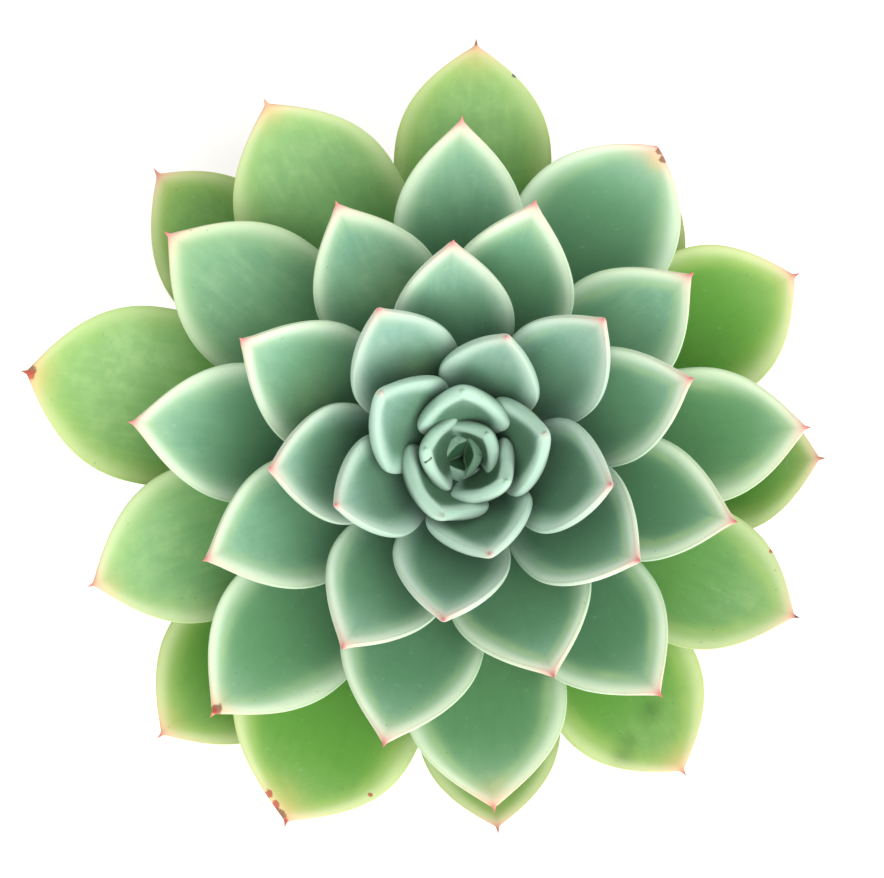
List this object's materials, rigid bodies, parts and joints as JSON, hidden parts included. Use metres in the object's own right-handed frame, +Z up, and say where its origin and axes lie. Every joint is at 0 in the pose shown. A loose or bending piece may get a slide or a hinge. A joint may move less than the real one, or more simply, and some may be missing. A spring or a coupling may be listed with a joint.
{
  "type": "potted echeveria",
  "caption": "Potted echeveria: a dense spiral rosette of cupped, pale-edged green succulent leaves with small pink tips, on a short stem in a plain clay pot",
  "frame": {"origin": "centre of the pot's base, on the surface that it stands on", "axes": "+Z up along the pot's axis, +X to the picture's right and +Y to its top as seen from above"},
  "size_m": [0.1189, 0.1179, 0.107],
  "materials": {
    "clay": "unglazed, matte, with a faint lime bloom",
    "soil": "loose gritty potting mix, rough",
    "bark": "dry, corky, ringed with leaf scars",
    "young_leaf": "living flesh with a pale waxy bloom, blue-green",
    "old_leaf": "living flesh with a waxy bloom, yellow-green with cream edges"
  },
  "bodies": {
    "root": {"pot": "clay", "soil": "soil", "stem": "bark", "bud": "young_leaf", "leaf_03": "young_leaf", "leaf_04": "young_leaf", "leaf_05": "young_leaf", "leaf_06": "young_leaf", "leaf_07": "young_leaf", "leaf_08": "young_leaf", "leaf_09": "young_leaf", "leaf_10": "young_leaf", "leaf_11": "young_leaf", "leaf_12": "young_leaf", "leaf_13": "young_leaf", "leaf_14": "young_leaf", "leaf_15": "young_leaf", "leaf_16": "young_leaf", "leaf_17": "young_leaf", "leaf_18": "young_leaf", "leaf_19": "young_leaf", "leaf_20": "young_leaf", "leaf_21": "young_leaf", "leaf_22": "young_leaf", "leaf_23": "young_leaf", "leaf_24": "old_leaf", "leaf_25": "old_leaf", "leaf_26": "old_leaf", "leaf_27": "old_leaf", "leaf_28": "old_leaf", "leaf_29": "old_leaf", "leaf_30": "old_leaf", "leaf_31": "old_leaf", "leaf_32": "old_leaf", "leaf_33": "old_leaf", "leaf_34": "old_leaf", "leaf_35": "old_leaf", "leaf_36": "old_leaf", "leaf_37": "old_leaf", "leaf_38": "old_leaf", "leaf_39": "old_leaf", "leaf_40": "old_leaf", "leaf_41": "old_leaf", "leaf_42": "old_leaf", "leaf_43": "old_leaf", "leaf_44": "old_leaf", "leaf_45": "old_leaf", "leaf_46": "old_leaf", "leaf_47": "old_leaf", "leaf_48": "old_leaf", "leaf_49": "old_leaf", "leaf_50": "old_leaf"}
  },
  "joints": []
}
